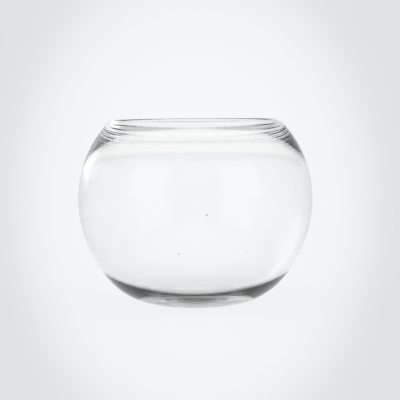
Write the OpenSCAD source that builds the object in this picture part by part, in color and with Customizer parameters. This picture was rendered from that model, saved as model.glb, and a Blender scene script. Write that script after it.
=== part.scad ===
// Rose bowl vase: a round bowl blown from clear glass, with a heavy base,
// an open mouth and a thick lip that the flame has melted round.
// It is one piece of glass, so the model is one solid of revolution.
// Origin at the centre of the foot, on the table; +Z is the bowl's axis.

/* [Bowl] */
// Widest diameter, over the belly
bowl_d = 150; // [130:1:180]
// Height from the table to the top of the lip
bowl_h = 117; // [110:1:135]
// Height of the widest line above the table
belly_h = 66; // [58:1:72]
// Clear diameter of the mouth, inside the lip
mouth_d = 100; // [80:1:115]
// Radius of the wall's curve from the widest line down to the heel
belly_r = 77; // [75:0.5:90]

/* [Glass thickness] */
// Thickness of the wall at the belly
wall_t = 1.4; // [1:0.1:3]
// Thickness of the glass at the middle of the base, above the punt
base_t = 4.5; // [3:0.5:12]
// Diameter of the rounded lip
lip_d = 5.6; // [4.5:0.1:8]
// How far the wall swells on its way up to the lip, from the lip's top down
taper_h = 30; // [16:1:36]
// Radius of the inside curve from the belly to the floor
floor_r = 39; // [20:1:46]

/* [Foot] */
// Outside diameter of the flat ring that the bowl stands on
foot_d = 46; // [36:1:60]
// Width of the standing ring
ring_w = 6; // [3:0.5:12]
// Depth of the punt, the shallow hollow under the base
punt_h = 1.2; // [0.5:0.1:3]

/* [Hidden] */

// Facets of the arcs on screen; each arc is a true circle
$fn = 240;
// How far an arc laps over the one that it touches, so that they join
// without a step
lap = 0.005;
// How far the mouth's cut runs past the lip
past = 2;

// The wall above the widest line is an arc that leaves the belly upright and
// touches the outside of the lip: its radius follows from mouth and height.
// It is kept to a thousandth, so that it meets the belly's arc in one point.
lip_r = lip_d / 2;
lip_x = mouth_d / 2 + lip_r;
lip_z = bowl_h - lip_r;
lip_touch_r = lip_r - lap;
lip_rise = lip_z - belly_h;
lip_inset = bowl_d / 2 - lip_x;
shoulder_full_r = (pow(lip_rise, 2) + pow(lip_inset, 2) - pow(lip_touch_r, 2))
                / (2 * (lip_inset - lip_touch_r));
shoulder_r = round(shoulder_full_r * 1000) / 1000;
shoulder_x = bowl_d / 2 - shoulder_r;
lip_angle = atan2(lip_rise, lip_x - shoulder_x);
lip_touch_z = lip_z + lip_touch_r * sin(lip_angle);

// The wall below the widest line, and the heel that lays it down on the
// table: the heel touches the belly's arc and the foot's ring
belly_x = bowl_d / 2 - belly_r;
foot_x = foot_d / 2;
heel_r = (belly_r + belly_h - pow(foot_x - belly_x, 2) / (belly_r - belly_h)) / 2;
heel_touch_z = heel_r * (belly_r - belly_h) / (belly_r - heel_r);

// The inside of the belly, and the arc that lays it down on the floor
inner_belly_r = belly_r - wall_t;
floor_z = punt_h + base_t;
floor_drop = belly_h - floor_z - floor_r;
floor_x = belly_x + sqrt(pow(inner_belly_r - floor_r, 2) - pow(floor_drop, 2));
floor_touch_z = belly_h - inner_belly_r * floor_drop / (inner_belly_r - floor_r);

// The inside of the shoulder, and the throat's arc: it leaves the shoulder
// where the swelling begins and touches the lip, so its radius follows. It is
// kept to a thousandth too.
inner_shoulder_r = shoulder_r - wall_t;
lip_reach = shoulder_r - lip_touch_r;
taper_turn = lip_angle - asin((bowl_h - taper_h - belly_h) / inner_shoulder_r);
throat_full_r = (pow(inner_shoulder_r, 2) + pow(lip_reach, 2) - pow(lip_touch_r, 2)
                 - 2 * inner_shoulder_r * lip_reach * cos(taper_turn))
              / (2 * (inner_shoulder_r + lip_touch_r - lip_reach * cos(taper_turn)));
throat_r = round(throat_full_r * 1000) / 1000;
throat_reach = inner_shoulder_r - throat_r;
throat_turn = acos((pow(throat_reach, 2) + pow(lip_reach, 2) - pow(throat_r + lip_touch_r, 2))
                   / (2 * throat_reach * lip_reach));
throat_angle = lip_angle - throat_turn;
throat_x = shoulder_x + throat_reach * cos(throat_angle);
throat_z = belly_h + throat_reach * sin(throat_angle);

// The punt is the cap of a large sphere
punt_x = foot_x - ring_w;
punt_r = (pow(punt_x, 2) + pow(punt_h, 2)) / (2 * punt_h);

// A circle about [x, z], with all that lies between it and the axis
module full_round(x, z, r) {
    translate([x, z]) circle(r);
    if (x > 0) translate([0, z - r]) square([x, 2 * r]);
}

// All that lies right of the axis, from one height to another
module storey(low, high) {
    translate([0, low]) square([bowl_d, high - low]);
}

// Outline of the bowl as if it were solid, up to the lip
module outside() {
    intersection() {
        storey(0, belly_h);
        full_round(belly_x, belly_h, belly_r);
        union() {
            full_round(foot_x, heel_r + lap, heel_r + lap);
            storey(heel_touch_z, belly_h);
        }
    }
    intersection() {
        storey(belly_h, lip_touch_z);
        full_round(shoulder_x, belly_h, shoulder_r);
    }
}

// Outline of the hollow, from the floor to the open mouth
module hollow() {
    intersection() {
        storey(floor_z, belly_h);
        full_round(belly_x, belly_h, inner_belly_r);
        union() {
            full_round(floor_x, floor_z + floor_r + lap, floor_r + lap);
            storey(floor_touch_z, belly_h);
        }
    }
    intersection() {
        storey(belly_h, lip_z);
        full_round(shoulder_x, belly_h, inner_shoulder_r);
    }
    translate([0, lip_z]) square([lip_x, lip_r + past]);
}

// The swelling of the wall under the lip, hollowed by the throat's arc. It
// ends inside the wall, so that the wall's outside stays as it is.
module swelling() {
    far = 2 * shoulder_r;
    difference() {
        intersection() {
            translate([shoulder_x, belly_h]) circle(shoulder_r - wall_t / 4);
            polygon([
                [throat_x, throat_z],
                [shoulder_x + far * cos(throat_angle), belly_h + far * sin(throat_angle)],
                [shoulder_x + far * cos(lip_angle), belly_h + far * sin(lip_angle)],
                [lip_x, lip_z]
            ]);
        }
        translate([throat_x, throat_z]) circle(throat_r + lap);
    }
}

// Half section of the glass: wall, heavy base, punt and rounded lip
module section() {
    difference() {
        outside();
        hollow();
        translate([0, punt_h - punt_r]) circle(punt_r);
    }
    swelling();
    translate([lip_x, lip_z]) circle(lip_r);
}

module glass_bowl() {
    color([0.86, 0.92, 0.94, 0.4])
        rotate_extrude() section();
}

glass_bowl();
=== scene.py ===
"""Rose bowl vase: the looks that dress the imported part.

A clear rose bowl, blown in one piece, stands on a pale paper sweep under soft studio light. The
bowl's section is drawn as a glassmaker would sketch it, arc after arc, and turned about its upright
axis. Three seeds, small bubbles of air, are left in the wall.
"""

import logging
import math
from dataclasses import dataclass, field

import bpy
from mathutils import Matrix, Vector

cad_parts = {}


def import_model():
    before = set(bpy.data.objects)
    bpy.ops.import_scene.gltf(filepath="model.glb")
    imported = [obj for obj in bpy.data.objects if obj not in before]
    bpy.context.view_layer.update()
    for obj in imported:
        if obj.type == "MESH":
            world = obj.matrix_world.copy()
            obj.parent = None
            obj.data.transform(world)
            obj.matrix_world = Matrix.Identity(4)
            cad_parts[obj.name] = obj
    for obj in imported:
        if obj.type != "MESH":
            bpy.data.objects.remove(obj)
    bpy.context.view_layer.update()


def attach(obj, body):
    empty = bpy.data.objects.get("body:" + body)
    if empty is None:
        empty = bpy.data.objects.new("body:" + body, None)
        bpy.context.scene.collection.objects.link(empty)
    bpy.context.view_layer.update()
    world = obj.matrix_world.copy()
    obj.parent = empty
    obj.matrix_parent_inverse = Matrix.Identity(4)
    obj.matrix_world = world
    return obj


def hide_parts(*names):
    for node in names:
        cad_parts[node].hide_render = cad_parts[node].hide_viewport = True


log = logging.getLogger("rose_bowl")

MM = 0.001
# Light runs a long way inside the lip and the base. What needs more bounces ends dark, and at 12
# the band in the base comes out as dark as on the photograph
GLOSSY_BOUNCES = 12


def linear(hex_colour: str) -> tuple[float, float, float, float]:
    """Turn an sRGB hex value into the linear colour that a shader takes.

    Args:
        hex_colour: six hex digits, such as "F7F8F9".

    Returns:
        Red, green, blue and an alpha of 1.
    """
    parts = [int(hex_colour[i : i + 2], 16) / 255 for i in (0, 2, 4)]
    red, green, blue = (p / 12.92 if p <= 0.04045 else ((p + 0.055) / 1.055) ** 2.4 for p in parts)
    return red, green, blue, 1.0


def add_node(
    tree: bpy.types.NodeTree, kind: str, settings: dict | None = None, links: dict | None = None
) -> bpy.types.Node:
    """Add one node with its settings and its links.

    Args:
        tree: the node tree that gets the node.
        kind: the node's Blender type name.
        settings: attribute names, or input sockets by name or number, and their values.
        links: input sockets by name or number, and the output that feeds each.

    Returns:
        The new node.
    """
    node = tree.nodes.new(kind)
    for key, value in (settings or {}).items():
        if isinstance(key, str) and key not in node.inputs and hasattr(node, key):
            setattr(node, key, value)
        else:
            node.inputs[key].default_value = value
    for key, output in (links or {}).items():
        tree.links.new(output, node.inputs[key])
    return node


def fill_ramp(ramp: bpy.types.ColorRamp, stops: list[tuple[float, str]]) -> None:
    """Set the stops of a colour ramp.

    Args:
        ramp: the ramp to fill.
        stops: places from 0 to 1 with their sRGB hex colours, in order.
    """
    while len(ramp.elements) > 1:
        ramp.elements.remove(ramp.elements[-1])
    ramp.elements[0].position, ramp.elements[0].color = stops[0][0], linear(stops[0][1])
    for place, colour in stops[1:]:
        ramp.elements.new(place).color = linear(colour)


def deselect_everything() -> None:
    """Leave edit mode if it is on, and deselect every object."""
    if bpy.context.object and bpy.context.object.mode != "OBJECT":
        bpy.ops.object.mode_set(mode="OBJECT")
    bpy.ops.object.select_all(action="DESELECT")


@dataclass(frozen=True)
class Arc:
    """A round of the section: the pen turns about a centre, in millimetres and radians.

    A positive turn goes anticlockwise when the section is seen with its axis on the left.
    """

    centre_x: float
    centre_z: float
    turn: float
    steps: int


@dataclass(frozen=True)
class Wave:
    """A train of faint rings: its length and height in millimetres, its start in radians."""

    length: float
    height: float
    start: float


@dataclass(frozen=True)
class Rings:
    """A level stretch towards or from the axis, with the faint rings that the blowing leaves.

    Sizes are in millimetres. The rings grow to their full height over the calm first part.
    """

    end_x: float
    level: float
    steps: int
    waves: tuple[Wave, ...] = ()
    calm: float = 1.0

    def height(self, x: float, from_x: float) -> float:
        """Give the level at a distance from the axis.

        Args:
            x: distance from the axis.
            from_x: where the stretch began; the rings die out towards it.

        Returns:
            The height of the surface.
        """
        fade = min(1.0, max(0.0, (from_x - x) / self.calm))
        swell = sum(
            wave.height * math.sin(2 * math.pi * x / wave.length + wave.start)
            for wave in self.waves
        )
        return self.level + fade * swell


@dataclass(frozen=True)
class BowlSection:
    """The blown section of the bowl, in millimetres, from the same values as the part's source."""

    bowl_d: float = 150.0
    bowl_h: float = 117.0
    belly_h: float = 66.0
    mouth_d: float = 100.0
    belly_r: float = 77.0
    wall_t: float = 1.4
    base_t: float = 4.5
    lip_d: float = 5.6
    taper_h: float = 30.0
    floor_r: float = 39.0
    foot_d: float = 46.0
    ring_w: float = 6.0
    punt_h: float = 1.2
    floor_waves: tuple[Wave, ...] = (Wave(5.0, 0.03, 0.0), Wave(2.15, 0.018, 1.3))
    floor_calm: float = 3.0

    def lip(self) -> tuple[float, float, float]:
        """Give the round lip's radius, and its centre's distance from the axis and height."""
        radius = self.lip_d / 2
        return radius, self.mouth_d / 2 + radius, self.bowl_h - radius

    def shoulder(self) -> tuple[float, float]:
        """Work out the wall above the widest line: it touches the outside of the lip.

        Returns:
            The arc's radius, and its centre's distance from the axis.
        """
        lip_r = self.lip_d / 2
        rise, inset = self.bowl_h - lip_r - self.belly_h, (self.bowl_d - self.mouth_d) / 2 - lip_r
        radius = (rise**2 + inset**2 - lip_r**2) / (2 * (inset - lip_r))
        return radius, self.bowl_d / 2 - radius

    def lip_angle(self) -> float:
        """Give the angle, about the shoulder's centre, at which shoulder and lip touch."""
        (_, lip_x, lip_z), (_, shoulder_x) = self.lip(), self.shoulder()
        return math.atan2(lip_z - self.belly_h, lip_x - shoulder_x)

    def outside(self) -> list[Arc | Rings]:
        """Work out the pen's way from the axis under the punt to the outside of the lip.

        Returns:
            The moves: punt, standing ring, heel, belly and shoulder.
        """
        belly_x, foot_x = self.bowl_d / 2 - self.belly_r, self.foot_d / 2
        belly_drop = self.belly_r - self.belly_h
        heel_r = (self.belly_r + self.belly_h - (foot_x - belly_x) ** 2 / belly_drop) / 2
        heel_angle = math.atan2(heel_r - self.belly_h, foot_x - belly_x)
        punt_x = foot_x - self.ring_w
        punt_r = (punt_x**2 + self.punt_h**2) / (2 * self.punt_h)
        _, shoulder_x = self.shoulder()
        return [
            Arc(0.0, self.punt_h - punt_r, -math.asin(punt_x / punt_r), steps=16),
            Rings(foot_x, 0.0, steps=4),
            Arc(foot_x, heel_r, heel_angle + math.pi / 2, steps=36),
            Arc(belly_x, self.belly_h, -heel_angle, steps=40),
            Arc(shoulder_x, self.belly_h, self.lip_angle(), steps=32),
        ]

    def inside(self) -> list[Arc | Rings]:
        """Work out the pen's way over the lip and down the inside to the axis.

        Returns:
            The moves: lip, throat, shoulder, belly, the round into the floor, and the floor.
        """
        lip_r, lip_x, lip_z = self.lip()
        shoulder_r, shoulder_x = self.shoulder()
        lip_angle = self.lip_angle()
        inner_r, lip_reach = shoulder_r - self.wall_t, shoulder_r - lip_r
        taper_angle = math.asin((self.bowl_h - self.taper_h - self.belly_h) / inner_r)
        along = lip_reach * math.cos(lip_angle - taper_angle)
        throat_span = 2 * (inner_r + lip_r - along)
        throat_r = (inner_r**2 + lip_reach**2 - lip_r**2 - 2 * inner_r * along) / throat_span
        throat_x = shoulder_x + (inner_r - throat_r) * math.cos(taper_angle)
        throat_z = self.belly_h + (inner_r - throat_r) * math.sin(taper_angle)
        under_lip = math.atan2(lip_z - throat_z, lip_x - throat_x)
        belly_x, inner_belly_r = self.bowl_d / 2 - self.belly_r, self.belly_r - self.wall_t
        floor_z = self.punt_h + self.base_t
        drop = floor_z + self.floor_r - self.belly_h
        floor_x = belly_x + math.sqrt((inner_belly_r - self.floor_r) ** 2 - drop**2)
        floor_angle = math.atan2(drop, floor_x - belly_x)
        return [
            Arc(lip_x, lip_z, under_lip + math.pi - lip_angle, steps=30),
            Arc(throat_x, throat_z, taper_angle - under_lip, steps=30),
            Arc(shoulder_x, self.belly_h, -taper_angle, steps=16),
            Arc(belly_x, self.belly_h, floor_angle, steps=34),
            Arc(floor_x, floor_z + self.floor_r, -math.pi / 2 - floor_angle, steps=34),
            Rings(0.0, floor_z, steps=84, waves=self.floor_waves, calm=self.floor_calm),
        ]


@dataclass(frozen=True)
class Seed:
    """A seed: a small bubble of air that the blowing left in the wall.

    It stands so many degrees round from the front, to the right, at a height and of a size in
    millimetres.
    """

    turn: float
    height: float
    bubble_d: float

    def place(self, section: BowlSection) -> Vector:
        """Give the bubble's centre, halfway through the wall of the belly.

        Args:
            section: the bowl's section.

        Returns:
            The centre in metres.
        """
        outer_r = section.belly_r if self.height < section.belly_h else section.shoulder()[0]
        middle_r, above = outer_r - section.wall_t / 2, self.height - section.belly_h
        reach = section.bowl_d / 2 - outer_r + math.sqrt(middle_r**2 - above**2)
        angle = math.radians(self.turn)
        return Vector((reach * math.sin(angle), -reach * math.cos(angle), self.height)) * MM


@dataclass(frozen=True)
class ClearSodaGlass:
    """Clear soda-lime glass, blown and fire-polished: clean and glossy all over.

    The eye sees through it, and finds it only by its bright and dark refractions and by a
    blue-green cast where it is thick. The ring that it stands on has been ground flat and is dull:
    its roughness goes up and down between the two values of ground, in spots as large as the grit.
    The ground glass turns into polished glass between the two heights of ground_end. The grit and
    the heights are in millimetres.
    """

    name: str = "clear_soda_lime_glass"
    ior: float = 1.52
    cast: str = "D9ECEE"
    cast_density: float = 1.0
    polish: float = 0.0
    ground: tuple[float, float] = (0.21, 0.35)
    ground_end: tuple[float, float] = (0.02, 0.10)
    grit: float = 0.4

    def material(self) -> bpy.types.Material:
        """Make the glass.

        Returns:
            The material, with a surface and a volume that takes up a little red light.
        """
        glass = bpy.data.materials.new(self.name)
        glass.use_nodes = True
        tree = glass.node_tree
        tree.nodes.clear()
        place = add_node(tree, "ShaderNodeTexCoord")
        surface = add_node(
            tree,
            "ShaderNodeBsdfPrincipled",
            {"Base Color": linear("FFFFFF"), "IOR": self.ior, "Transmission Weight": 1.0},
            {"Roughness": self.dullness(tree, place.outputs["Object"])},
        )
        volume = add_node(
            tree,
            "ShaderNodeVolumeAbsorption",
            {"Color": linear(self.cast), "Density": self.cast_density},
        )
        add_node(
            tree,
            "ShaderNodeOutputMaterial",
            links={"Surface": surface.outputs[0], "Volume": volume.outputs[0]},
        )
        return glass

    def dullness(
        self, tree: bpy.types.NodeTree, place: bpy.types.NodeSocket
    ) -> bpy.types.NodeSocket:
        """Make the roughness: polished all over, and ground where the bowl stands.

        Args:
            tree: the material's node tree.
            place: the object coordinates.

        Returns:
            The output to plug into the shader's roughness.
        """
        height = add_node(tree, "ShaderNodeSeparateXYZ", links={0: place})
        # The wheel's scratches are about 0.05 mm apart; 0.4 mm is the finest that can show
        grit = add_node(
            tree,
            "ShaderNodeTexNoise",
            {"Scale": 1 / (self.grit * MM), "Detail": 2.0},
            {"Vector": place},
        )
        # Where the noise is under 0.35 the ring is at its clearest, and over 0.65 at its dullest
        bite = add_node(
            tree,
            "ShaderNodeMapRange",
            {
                "From Min": 0.35,
                "From Max": 0.65,
                "To Min": self.ground[0],
                "To Max": self.ground[1],
            },
            {"Value": grit.outputs[0]},
        )
        # The punt rises from the ring's inner edge, and the heel from its outer edge
        return add_node(
            tree,
            "ShaderNodeMapRange",
            {
                "From Min": self.ground_end[0] * MM,
                "From Max": self.ground_end[1] * MM,
                "To Max": self.polish,
                "interpolation_type": "SMOOTHSTEP",
            },
            {"Value": height.outputs["Z"], "To Min": bite.outputs[0]},
        ).outputs[0]


@dataclass
class RoseBowl:
    """The bowl: one piece of blown glass that stands for the CAD node.

    The section is turned in so many facets, and points nearer than the weld, in millimetres, are
    made one.
    """

    section: BowlSection = field(default_factory=BowlSection)
    glass: ClearSodaGlass = field(default_factory=ClearSodaGlass)
    seeds: tuple[Seed, ...] = (Seed(5.1, 63.0, 1.0), Seed(-8.2, 39.7, 0.8), Seed(25.4, 40.4, 0.6))
    facets: int = 240
    weld: float = 0.002

    def draw_section(self) -> bpy.types.Object:
        """Draw the section as a chain of edges, from one point that is spun about each centre.

        Returns:
            The object, in edit mode.
        """
        deselect_everything()
        bpy.ops.mesh.primitive_plane_add(size=MM, location=(0, 0, 0))
        bowl = bpy.context.object
        bowl.name = bowl.data.name = "blown_bowl"
        bpy.ops.object.mode_set(mode="EDIT")
        bpy.ops.mesh.merge(type="CENTER")
        at = Vector((0, 0, self.section.punt_h * MM))
        bpy.ops.transform.translate(value=at)
        for move in self.section.outside() + self.section.inside():
            if isinstance(move, Arc):
                centre = Vector((move.centre_x, 0, move.centre_z)) * MM
                bpy.ops.mesh.spin(
                    steps=move.steps, angle=move.turn, center=centre, axis=(0, 1, 0)
                )
                at = centre + Matrix.Rotation(-move.turn, 3, "Y") @ (at - centre)
            else:
                start = at.x / MM
                for step in range(1, move.steps + 1):
                    x = start + (move.end_x - start) * step / move.steps
                    to = Vector((x, 0, move.height(x, start))) * MM
                    bpy.ops.mesh.extrude_region_move(TRANSFORM_OT_translate={"value": to - at})
                    at = to
        return bowl

    def turn(self) -> None:
        """Turn the section that is being edited about the upright axis, and close it."""
        bpy.ops.mesh.select_all(action="SELECT")
        bpy.ops.mesh.spin(steps=self.facets, angle=2 * math.pi, center=(0, 0, 0), axis=(0, 0, 1))
        bpy.ops.mesh.select_all(action="SELECT")
        bpy.ops.mesh.remove_doubles(threshold=self.weld * MM)
        bpy.ops.mesh.select_all(action="SELECT")
        bpy.ops.mesh.normals_make_consistent(inside=False)
        bpy.ops.mesh.faces_shade_smooth()
        bpy.ops.mesh.select_all(action="DESELECT")

    def blow_seeds(self) -> None:
        """Add the seeds to the bowl being edited, each a closed skin that faces its own air."""
        for seed in self.seeds:
            bpy.ops.mesh.primitive_ico_sphere_add(
                subdivisions=2, radius=seed.bubble_d / 2 * MM, location=seed.place(self.section)
            )
            bpy.ops.mesh.normals_make_consistent(inside=True)
            bpy.ops.mesh.faces_shade_smooth()
            bpy.ops.mesh.select_all(action="DESELECT")

    def build(self) -> bpy.types.Object:
        """Draw, turn and dress the bowl.

        Returns:
            The finished piece.
        """
        bowl = self.draw_section()
        self.turn()
        self.blow_seeds()
        bpy.ops.object.mode_set(mode="OBJECT")
        bowl.data.materials.clear()
        bowl.data.materials.append(self.glass.material())
        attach(bowl, "root")
        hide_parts("glass_bowl")
        return bowl


@dataclass(frozen=True)
class Stand:
    """Where the photograph was taken from, and through what lens.

    Distance, height and clip are in metres, angles in degrees, the film in millimetres, and the
    focal length, the picture's centre and its width in pixels.
    """

    distance: float = 0.75
    elevation: float = 5.58
    aim_height: float = 0.05625
    roll: float = -0.5
    film_width: float = 36.0
    clip: tuple[float, float] = (0.01, 60.0)
    focal_px: float = 1165.9
    centre_px: tuple[float, float] = (195.5, 214.3)
    frame_px: int = 400

    def set_up(self) -> bpy.types.Object:
        """Add the camera and make it the scene's.

        Returns:
            The camera object.
        """
        lens = bpy.data.cameras.new("camera")
        camera = bpy.data.objects.new("camera", lens)
        bpy.context.scene.collection.objects.link(camera)
        lift = math.radians(self.elevation)
        ahead, down = math.cos(lift), math.sin(lift)
        place = Vector((0, -self.distance * ahead, self.aim_height + self.distance * down))
        look = Vector((0, ahead, -down)).to_track_quat("-Z", "Y").to_matrix().to_4x4()
        tilt = Matrix.Rotation(math.radians(self.roll), 4, "Z")
        camera.matrix_world = Matrix.Translation(place) @ look @ tilt
        half = self.frame_px / 2
        lens.sensor_width = self.film_width
        lens.lens = self.film_width * self.focal_px / self.frame_px
        lens.shift_x = (half - self.centre_px[0]) / self.frame_px
        lens.shift_y = (self.centre_px[1] - half) / self.frame_px
        lens.clip_start, lens.clip_end = self.clip
        bpy.context.scene.camera = camera
        return camera


@dataclass(frozen=True)
class PaintedPoolOfLight:
    """A soft pool of light painted on sweep and backdrop, brightest behind the bowl.

    It is laid out as directions from a fixed point in front of the bowl, so that the sweep and the
    backdrop behind it show one painted pool. The dip is how far its middle lies below the level, in
    degrees. A step up or down counts for less than one to the side, by the share in upright, so
    the pool is taller than it is wide. Each stop is a distance from its middle, as the chord
    between two directions, with the painted colour there. The reach is a little past the last stop.
    """

    origin: tuple[float, float, float] = (0.0, -0.7464, 0.1292)
    dip: float = 5.12
    upright: float = 0.74
    reach: float = 0.2
    stops: tuple[tuple[float, str], ...] = (
        (0.060, "F7F8F9"),
        (0.092, "F4F5F6"),
        (0.120, "F3F4F6"),
        (0.140, "EEEFF1"),
        (0.156, "E5E7EA"),
        (0.172, "E0E3E5"),
    )

    def tone(
        self, tree: bpy.types.NodeTree, direction: bpy.types.NodeSocket
    ) -> bpy.types.NodeSocket:
        """Make the painted pool's colour in a direction from the fixed point.

        Args:
            tree: the node tree.
            direction: a direction of length 1.

        Returns:
            The colour output.
        """
        dip = math.radians(self.dip)
        off = add_node(
            tree,
            "ShaderNodeVectorMath",
            {"operation": "SUBTRACT", 1: (0.0, math.cos(dip), -math.sin(dip))},
            {0: direction},
        )
        drawn_in = add_node(
            tree,
            "ShaderNodeVectorMath",
            {"operation": "MULTIPLY", 1: (1.0, 1.0, self.upright)},
            {0: off.outputs[0]},
        )
        far = add_node(
            tree, "ShaderNodeVectorMath", {"operation": "LENGTH"}, {0: drawn_in.outputs[0]}
        )
        share = add_node(
            tree,
            "ShaderNodeMath",
            {"operation": "DIVIDE", 1: self.reach},
            {0: far.outputs["Value"]},
        )
        # Painted light: paler in the pool's middle, greyer outwards
        ramp = add_node(tree, "ShaderNodeValToRGB", links={0: share.outputs[0]})
        ramp.color_ramp.interpolation = "B_SPLINE"
        fill_ramp(ramp.color_ramp, [(chord / self.reach, colour) for chord, colour in self.stops])
        return ramp.outputs["Color"]


@dataclass(frozen=True)
class PaperWithPaintedGlow:
    """Background paper off the roll: matt and white, too fine in grain to show any.

    For the light that falls on it the paper is matt, with the painted pool as its colour. For the
    eye and the glass it mostly glows with that painted pool: the painted glow leaves only a breath
    of the bowl's real shadow under the bowl, and a little more of that shadow through the glass.
    Each share is from 0, no shadow, to 1.
    """

    pool: PaintedPoolOfLight
    name: str = "paper_with_painted_glow"
    shadow_seen: float = 0.08
    shadow_through_glass: float = 0.3

    def material(self) -> bpy.types.Material:
        """Make the paper.

        Returns:
            The material, matt for the light that falls on it, with a painted glow for the eye and
            the glass.
        """
        paper = bpy.data.materials.new(self.name)
        paper.use_nodes = True
        tree = paper.node_tree
        tree.nodes.clear()
        place = add_node(tree, "ShaderNodeNewGeometry")
        out = add_node(
            tree,
            "ShaderNodeVectorMath",
            {"operation": "SUBTRACT", 1: self.pool.origin},
            {0: place.outputs["Position"]},
        )
        ray = add_node(
            tree, "ShaderNodeVectorMath", {"operation": "NORMALIZE"}, {0: out.outputs[0]}
        )
        tone = self.pool.tone(tree, ray.outputs[0])
        matt = add_node(tree, "ShaderNodeBsdfDiffuse", links={"Color": tone})
        # Painted light: the paper glows in the painted pool's colour for the eye and the glass
        painted_glow = add_node(tree, "ShaderNodeEmission", {"Strength": 1.0}, {"Color": tone})
        path = add_node(tree, "ShaderNodeLightPath")
        glimpsed = add_node(
            tree,
            "ShaderNodeMath",
            {"operation": "MAXIMUM"},
            {0: path.outputs["Is Glossy Ray"], 1: path.outputs["Is Transmission Ray"]},
        )
        for_glass = add_node(
            tree,
            "ShaderNodeMath",
            {"operation": "MULTIPLY", 1: 1.0 - self.shadow_through_glass},
            {0: glimpsed.outputs[0]},
        )
        share = add_node(
            tree,
            "ShaderNodeMath",
            {"operation": "MULTIPLY_ADD", 1: 1.0 - self.shadow_seen},
            {0: path.outputs["Is Camera Ray"], 2: for_glass.outputs[0]},
        )
        mix = add_node(
            tree,
            "ShaderNodeMixShader",
            links={0: share.outputs[0], 1: matt.outputs[0], 2: painted_glow.outputs[0]},
        )
        add_node(tree, "ShaderNodeOutputMaterial", links={"Surface": mix.outputs[0]})
        return paper


@dataclass(frozen=True)
class PaperSweep:
    """The pale table top that the bowl stands on, with half its width in metres.

    It lies a hair under the foot, by a gap in millimetres, so that the two don't share a plane.
    """

    paper: PaperWithPaintedGlow
    half_width: float = 6.0
    gap: float = 0.05

    def build(self) -> bpy.types.Object:
        """Lay the table top.

        Returns:
            The table top.
        """
        deselect_everything()
        bpy.ops.mesh.primitive_plane_add(
            size=2 * self.half_width, location=(0, 0, -self.gap * MM)
        )
        top = bpy.context.object
        top.name = top.data.name = "paper_sweep"
        top.data.materials.append(self.paper.material())
        return top


@dataclass(frozen=True)
class Card:
    """A card or lamp's cloth painted for the glass alone: angles in degrees, level as a share of
    white.

    The bearing is 0 behind the bowl and 90 on its right. The edge is how wide its soft border is.
    """

    bearing: float
    height: float
    half_width: float
    half_height: float
    level: float
    edge: float


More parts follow.
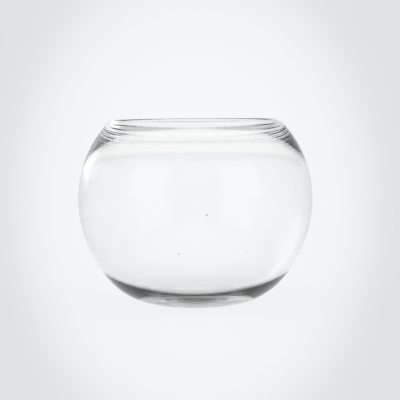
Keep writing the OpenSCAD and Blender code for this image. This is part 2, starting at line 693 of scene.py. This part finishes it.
@dataclass(frozen=True)
class LightTent:
    """The soft white light round the table, and painted cards and cloths that only glass sees.

    Each card lies over the ones before it.
    """

    pool: PaintedPoolOfLight
    # Painted reflections, seen by the glass only and lighting nothing: a white cloth, a dimmer room
    # and ceiling, a grey and a dark card, and three bright patches painted as lamps' cloths
    cards: tuple[Card, ...] = (
        Card(0.0, 33.5, 62.0, 27.0, 0.965, 7.0),  # white cloth behind the bowl
        Card(180.0, 35.0, 80.0, 34.0, 0.72, 12.0),  # the room on the camera's side, dimmer
        Card(0.0, 50.0, 95.0, 26.0, 0.6, 10.0),  # the ceiling over the backdrop, dimmer still
        Card(52.0, 16.5, 37.0, 9.5, 0.65, 10.0),  # grey card on the right
        Card(24.0, 24.0, 9.0, 7.0, 0.35, 8.0),  # small dark card, right and behind
        Card(-34.0, 13.0, 14.0, 10.0, 1.35, 9.0),  # lamp's cloth, left and behind
        Card(132.0, 19.5, 20.0, 16.0, 1.15, 9.0),  # lamp's cloth, right and in front
        Card(-132.0, 19.5, 20.0, 16.0, 1.15, 9.0),  # lamp's cloth, left and in front
    )

    def patch(
        self, tree: bpy.types.NodeTree, direction: bpy.types.NodeSocket, card: Card
    ) -> bpy.types.NodeSocket:
        """Make the share of a card in a direction, from 0 beside it to 1 on it.

        Args:
            tree: the world's node tree.
            direction: a direction of length 1.
            card: the card.

        Returns:
            The output.
        """
        turned = add_node(
            tree,
            "ShaderNodeVectorRotate",
            {"rotation_type": "Z_AXIS", "Angle": math.radians(card.bearing)},
            {"Vector": direction},
        )
        axes = add_node(tree, "ShaderNodeSeparateXYZ", links={0: turned.outputs[0]})
        beside = add_node(
            tree,
            "ShaderNodeMath",
            {"operation": "ARCTAN2"},
            {0: axes.outputs["X"], 1: axes.outputs["Y"]},
        )
        lift = add_node(tree, "ShaderNodeMath", {"operation": "ARCSINE"}, {0: axes.outputs["Z"]})
        above = add_node(
            tree,
            "ShaderNodeMath",
            {"operation": "SUBTRACT", 1: math.radians(card.height)},
            {0: lift.outputs[0]},
        )
        shares = []
        for angle, half in ((beside, card.half_width), (above, card.half_height)):
            off = add_node(tree, "ShaderNodeMath", {"operation": "ABSOLUTE"}, {0: angle.outputs[0]})
            share = add_node(
                tree,
                "ShaderNodeMapRange",
                {
                    "From Min": math.radians(half - card.edge / 2),
                    "From Max": math.radians(half + card.edge / 2),
                    "To Min": 1.0,
                    "To Max": 0.0,
                    "interpolation_type": "SMOOTHSTEP",
                },
                {"Value": off.outputs[0]},
            )
            shares.append(share.outputs[0])
        both = add_node(
            tree, "ShaderNodeMath", {"operation": "MULTIPLY"}, {0: shares[0], 1: shares[1]}
        )
        return both.outputs[0]

    def painted_reflections(
        self,
        tree: bpy.types.NodeTree,
        direction: bpy.types.NodeSocket,
        backdrop: bpy.types.NodeSocket,
    ) -> bpy.types.NodeSocket:
        """Hang the painted cards over the backdrop, one after the other, for the glass to see.

        Args:
            tree: the world's node tree.
            direction: a direction of length 1.
            backdrop: the backdrop's colour output.

        Returns:
            The colour output.
        """
        seen = backdrop
        for card in self.cards:
            hung = add_node(
                tree,
                "ShaderNodeMix",
                {"data_type": "RGBA", "B": (card.level, card.level, card.level, 1.0)},
                {"Factor": self.patch(tree, direction, card), "A": seen},
            )
            seen = hung.outputs["Result"]
        return seen

    def build(self) -> None:
        """Make the world: white light for matt things, painted pool for eye, painted cards for
        glass.
        """
        world = bpy.data.worlds.new("light_tent")
        bpy.context.scene.world = world
        world.use_nodes = True
        tree = world.node_tree
        tree.nodes.clear()
        direction = add_node(tree, "ShaderNodeTexCoord").outputs["Generated"]
        tone = self.pool.tone(tree, direction)
        light = add_node(
            tree, "ShaderNodeBackground", {"Color": linear("FFFFFF"), "Strength": 1.0}
        )
        # Painted pool of light, the backdrop that the eye sees
        backdrop = add_node(tree, "ShaderNodeBackground", {"Strength": 1.0}, {"Color": tone})
        # Painted reflections of the cards and cloths, for the glass only
        painted_reflections = add_node(
            tree,
            "ShaderNodeBackground",
            {"Strength": 1.0},
            {"Color": self.painted_reflections(tree, direction, tone)},
        )
        path = add_node(tree, "ShaderNodeLightPath")
        glimpsed = add_node(
            tree,
            "ShaderNodeMath",
            {"operation": "MAXIMUM"},
            {0: path.outputs["Is Glossy Ray"], 1: path.outputs["Is Transmission Ray"]},
        )
        lit = add_node(
            tree,
            "ShaderNodeMixShader",
            links={0: glimpsed.outputs[0], 1: light.outputs[0], 2: painted_reflections.outputs[0]},
        )
        whole = add_node(
            tree,
            "ShaderNodeMixShader",
            links={0: path.outputs["Is Camera Ray"], 1: lit.outputs[0], 2: backdrop.outputs[0]},
        )
        add_node(tree, "ShaderNodeOutputWorld", links={"Surface": whole.outputs[0]})


def main() -> None:
    """Set up the camera, and build the bowl, its table and its light, in that order."""
    logging.basicConfig(level=logging.INFO, format="%(name)s: %(message)s")
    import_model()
    Stand().set_up()
    pool = PaintedPoolOfLight()
    for made in (RoseBowl().build(), PaperSweep(PaperWithPaintedGlow(pool)).build()):
        log.info("%s: %d faces", made.name, len(made.data.polygons))
    LightTent(pool).build()
    scene = bpy.context.scene
    scene.view_settings.view_transform = "Standard"
    scene.cycles.glossy_bounces = GLOSSY_BOUNCES


if __name__ == "__main__":
    main()
